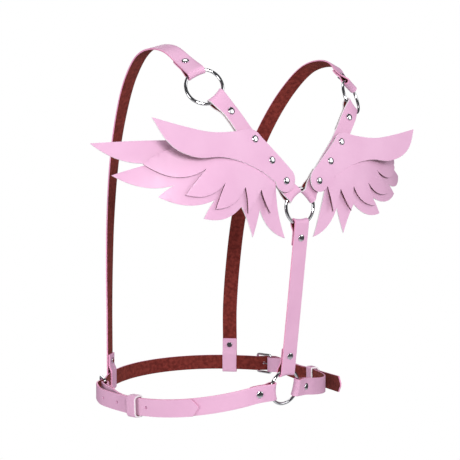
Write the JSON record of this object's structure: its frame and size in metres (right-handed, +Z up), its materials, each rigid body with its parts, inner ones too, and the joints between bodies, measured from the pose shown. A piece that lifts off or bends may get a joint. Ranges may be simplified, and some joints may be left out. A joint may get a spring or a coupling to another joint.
{
  "type": "angel wing harness",
  "caption": "Worn leather body harness with layered feather wings riveted to diagonal back straps, metal rings, shoulder straps and a buckled waist belt.",
  "frame": {"origin": "middle of the shoulder line, between the tops of the two shoulder straps, where the shoulders carry the harness", "axes": "+Z up, +X to the wearer's right along the wing span, the winged back faces -Y and the wearer's front is +Y"},
  "size_m": [0.4024, 0.279, 0.3862],
  "materials": {
    "strap_leather": "smooth satin pink face with a brown suede back",
    "wing_leather": "smooth satin pink face with pale cut edges",
    "metal": "polished nickel plate"
  },
  "bodies": {
    "root": {"ring_waist": "metal", "ring_centre": "metal", "ring_shoulder_right": "metal", "ring_shoulder_left": "metal", "spine_strap": "strap_leather", "diagonal_strap_right": "strap_leather", "diagonal_strap_left": "strap_leather", "shoulder_strap_right": "strap_leather", "shoulder_strap_left": "strap_leather", "belt_side_right": "strap_leather", "belt_side_left": "strap_leather", "belt_front": "strap_leather", "keeper_right": "strap_leather", "keeper_left": "strap_leather", "wing_long_right": "wing_leather", "wing_long_left": "wing_leather", "wing_middle_right": "wing_leather", "wing_middle_left": "wing_leather", "wing_cover_right": "wing_leather", "wing_cover_left": "wing_leather", "buckle_right": "metal", "buckle_left": "metal", "rivet_spine_top": "metal", "rivet_spine_foot": "metal", "rivet_diagonal_right": "metal", "rivet_diagonal_left": "metal", "rivet_wing_low_right": "metal", "rivet_wing_low_left": "metal", "rivet_wing_middle_right": "metal", "rivet_wing_middle_left": "metal", "rivet_wing_top_right": "metal", "rivet_wing_top_left": "metal", "rivet_belt_right": "metal", "rivet_belt_left": "metal", "rivet_buckle_right": "metal", "rivet_buckle_left": "metal", "rivet_shoulder_right": "metal", "rivet_shoulder_left": "metal", "rivet_loop_right": "metal", "rivet_loop_left": "metal"}
  },
  "joints": []
}
